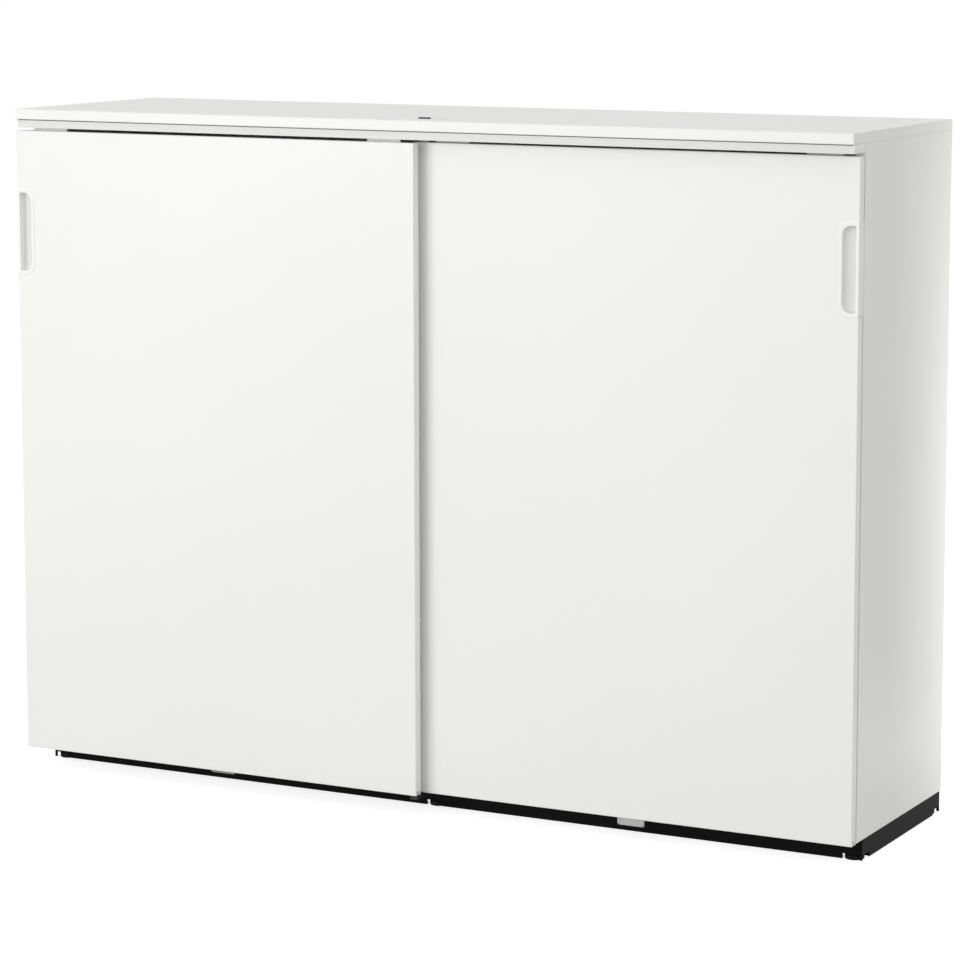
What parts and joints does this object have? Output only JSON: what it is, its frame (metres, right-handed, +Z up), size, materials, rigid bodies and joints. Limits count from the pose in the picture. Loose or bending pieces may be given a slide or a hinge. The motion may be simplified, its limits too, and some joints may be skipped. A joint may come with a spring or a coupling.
{
  "type": "sliding door cabinet",
  "caption": "White cabinet with overlapping sliding doors hung from a top rail, recessed cup pulls, inner shelves, a combination lock in its top and a black plinth.",
  "frame": {"origin": "on the floor, in the middle of the footprint", "axes": "+X to the right along the front, +Y from the doors to the back, +Z up"},
  "size_m": [1.6, 0.45, 1.2023],
  "materials": {
    "white_door_board": "satin melamine",
    "white_carcass_board": "satin melamine",
    "white_back_board": "matte lacquered hardboard",
    "white_plastic": "satin",
    "white_lacquered_metal": "satin lacquer",
    "light_grey_plastic": "matte",
    "black_plastic": "matte",
    "black_coated_steel": "matte powder coat",
    "zinc_plated_steel": "zinc plated",
    "grey_lacquered_steel": "satin lacquer",
    "nylon": "satin",
    "lock_slider_plastic": "matte",
    "rubber": "matte"
  },
  "bodies": {
    "cabinet": {"back_joint_strip": "white_plastic", "bottom_panel": "white_carcass_board", "cam_fittings": "zinc_plated_steel", "centre_guide": "black_plastic", "centre_partition": "white_carcass_board", "door_rail": "white_lacquered_metal", "foot_brackets": "zinc_plated_steel", "guide_screws": "zinc_plated_steel", "left_back_panel": "white_back_board", "left_bottom_guide": "light_grey_plastic", "left_lower_shelf": "white_carcass_board", "left_side_panel": "white_carcass_board", "left_upper_shelf": "white_carcass_board", "lock_housing": "black_plastic", "lock_plate": "white_plastic", "plinth_back": "black_coated_steel", "plinth_front": "black_coated_steel", "plinth_left": "black_coated_steel", "plinth_right": "black_coated_steel", "rail_left_end_cap": "white_plastic", "rail_right_end_cap": "white_plastic", "rail_screws": "zinc_plated_steel", "rail_stops": "rubber", "right_back_panel": "white_back_board", "right_bottom_guide": "light_grey_plastic", "right_lower_shelf": "white_carcass_board", "right_side_panel": "white_carcass_board", "right_upper_shelf": "white_carcass_board", "shelf_pins": "zinc_plated_steel", "top_panel": "white_carcass_board"},
    "left_door": {"left_door_panel": "white_door_board", "left_door_handle": "white_plastic", "left_door_outer_hanger": "grey_lacquered_steel", "left_door_inner_hanger": "grey_lacquered_steel", "left_door_hanger_screws": "zinc_plated_steel"},
    "right_door": {"right_door_panel": "white_door_board", "right_door_handle": "white_plastic", "right_door_outer_hanger": "grey_lacquered_steel", "right_door_inner_hanger": "grey_lacquered_steel", "right_door_hanger_screws": "zinc_plated_steel"},
    "left_door_outer_wheel_1": {"left_door_outer_wheel_1": "nylon"},
    "left_door_outer_wheel_2": {"left_door_outer_wheel_2": "nylon"},
    "left_door_inner_wheel_1": {"left_door_inner_wheel_1": "nylon"},
    "left_door_inner_wheel_2": {"left_door_inner_wheel_2": "nylon"},
    "right_door_outer_wheel_1": {"right_door_outer_wheel_1": "nylon"},
    "right_door_outer_wheel_2": {"right_door_outer_wheel_2": "nylon"},
    "right_door_inner_wheel_1": {"right_door_inner_wheel_1": "nylon"},
    "right_door_inner_wheel_2": {"right_door_inner_wheel_2": "nylon"},
    "lock_dial_1": {"lock_dial_1": "black_plastic"},
    "lock_dial_2": {"lock_dial_2": "black_plastic"},
    "lock_dial_3": {"lock_dial_3": "black_plastic"},
    "lock_slider": {"lock_slider": "lock_slider_plastic"},
    "lock_bolt": {"lock_bolt": "zinc_plated_steel"},
    "levelling_foot_front_left": {"levelling_foot_front_left": "black_plastic"},
    "levelling_foot_front_centre": {"levelling_foot_front_centre": "black_plastic"},
    "levelling_foot_front_right": {"levelling_foot_front_right": "black_plastic"},
    "levelling_foot_back_left": {"levelling_foot_back_left": "black_plastic"},
    "levelling_foot_back_centre": {"levelling_foot_back_centre": "black_plastic"},
    "levelling_foot_back_right": {"levelling_foot_back_right": "black_plastic"}
  },
  "joints": [
    {"name": "left_door_slide", "type": "slide", "parent": "cabinet", "child": "left_door", "axis": [1, 0, 0], "range_m": [0, 0.79]},
    {"name": "right_door_slide", "type": "slide", "parent": "cabinet", "child": "right_door", "axis": [-1, 0, 0], "range_m": [0, 0.79]},
    {"name": "left_door_outer_wheel_1_spin", "type": "hinge", "parent": "left_door", "child": "left_door_outer_wheel_1", "pos_m": [-0.714, -0.212, 1.1736], "axis": [0, 1, 0], "range_deg": [0, 9060]},
    {"name": "left_door_outer_wheel_2_spin", "type": "hinge", "parent": "left_door", "child": "left_door_outer_wheel_2", "pos_m": [-0.754, -0.212, 1.1736], "axis": [0, 1, 0], "range_deg": [0, 9060]},
    {"name": "left_door_inner_wheel_1_spin", "type": "hinge", "parent": "left_door", "child": "left_door_inner_wheel_1", "pos_m": [-0.038, -0.212, 1.1736], "axis": [0, 1, 0], "range_deg": [0, 9060]},
    {"name": "left_door_inner_wheel_2_spin", "type": "hinge", "parent": "left_door", "child": "left_door_inner_wheel_2", "pos_m": [-0.078, -0.212, 1.1736], "axis": [0, 1, 0], "range_deg": [0, 9060]},
    {"name": "right_door_outer_wheel_1_spin", "type": "hinge", "parent": "right_door", "child": "right_door_outer_wheel_1", "pos_m": [0.714, -0.182, 1.1736], "axis": [0, -1, 0], "range_deg": [0, 9060]},
    {"name": "right_door_outer_wheel_2_spin", "type": "hinge", "parent": "right_door", "child": "right_door_outer_wheel_2", "pos_m": [0.754, -0.182, 1.1736], "axis": [0, -1, 0], "range_deg": [0, 9060]},
    {"name": "right_door_inner_wheel_1_spin", "type": "hinge", "parent": "right_door", "child": "right_door_inner_wheel_1", "pos_m": [0.038, -0.182, 1.1736], "axis": [0, -1, 0], "range_deg": [0, 9060]},
    {"name": "right_door_inner_wheel_2_spin", "type": "hinge", "parent": "right_door", "child": "right_door_inner_wheel_2", "pos_m": [0.078, -0.182, 1.1736], "axis": [0, -1, 0], "range_deg": [0, 9060]},
    {"name": "lock_dial_1_turn", "type": "hinge", "parent": "cabinet", "child": "lock_dial_1", "pos_m": [-0.0104, -0.163, 1.1941], "axis": [1, 0, 0], "continuous": true},
    {"name": "lock_dial_2_turn", "type": "hinge", "parent": "cabinet", "child": "lock_dial_2", "pos_m": [-0.003, -0.163, 1.1941], "axis": [1, 0, 0], "continuous": true},
    {"name": "lock_dial_3_turn", "type": "hinge", "parent": "cabinet", "child": "lock_dial_3", "pos_m": [0.0044, -0.163, 1.1941], "axis": [1, 0, 0], "continuous": true},
    {"name": "lock_slider_slide", "type": "slide", "parent": "cabinet", "child": "lock_slider", "axis": [-1, 0, 0], "range_m": [0, 0.01]},
    {"name": "lock_bolt_drop", "type": "slide", "parent": "cabinet", "child": "lock_bolt", "axis": [0, 0, -1], "range_m": [0, 0.007]},
    {"name": "levelling_foot_front_left_turn", "type": "hinge", "parent": "cabinet", "child": "levelling_foot_front_left", "pos_m": [-0.7785, -0.124, 0.01], "axis": [0, 0, 1], "range_deg": [0, 1440]},
    {"name": "levelling_foot_front_centre_turn", "type": "hinge", "parent": "cabinet", "child": "levelling_foot_front_centre", "pos_m": [0, -0.124, 0.01], "axis": [0, 0, 1], "range_deg": [0, 1440]},
    {"name": "levelling_foot_front_right_turn", "type": "hinge", "parent": "cabinet", "child": "levelling_foot_front_right", "pos_m": [0.7785, -0.124, 0.01], "axis": [0, 0, 1], "range_deg": [0, 1440]},
    {"name": "levelling_foot_back_left_turn", "type": "hinge", "parent": "cabinet", "child": "levelling_foot_back_left", "pos_m": [-0.7785, 0.2055, 0.01], "axis": [0, 0, 1], "range_deg": [0, 1440]},
    {"name": "levelling_foot_back_centre_turn", "type": "hinge", "parent": "cabinet", "child": "levelling_foot_back_centre", "pos_m": [0, 0.2055, 0.01], "axis": [0, 0, 1], "range_deg": [0, 1440]},
    {"name": "levelling_foot_back_right_turn", "type": "hinge", "parent": "cabinet", "child": "levelling_foot_back_right", "pos_m": [0.7785, 0.2055, 0.01], "axis": [0, 0, 1], "range_deg": [0, 1440]}
  ],
  "couplings": [
    {"joint": "left_door_outer_wheel_1_spin", "follows": "left_door_slide", "rad_per_m": 200},
    {"joint": "left_door_outer_wheel_2_spin", "follows": "left_door_slide", "rad_per_m": 200},
    {"joint": "left_door_inner_wheel_1_spin", "follows": "left_door_slide", "rad_per_m": 200},
    {"joint": "left_door_inner_wheel_2_spin", "follows": "left_door_slide", "rad_per_m": 200},
    {"joint": "right_door_outer_wheel_1_spin", "follows": "right_door_slide", "rad_per_m": 200},
    {"joint": "right_door_outer_wheel_2_spin", "follows": "right_door_slide", "rad_per_m": 200},
    {"joint": "right_door_inner_wheel_1_spin", "follows": "right_door_slide", "rad_per_m": 200},
    {"joint": "right_door_inner_wheel_2_spin", "follows": "right_door_slide", "rad_per_m": 200},
    {"joint": "lock_bolt_drop", "follows": "lock_slider_slide", "ratio": 0.7}
  ]
}
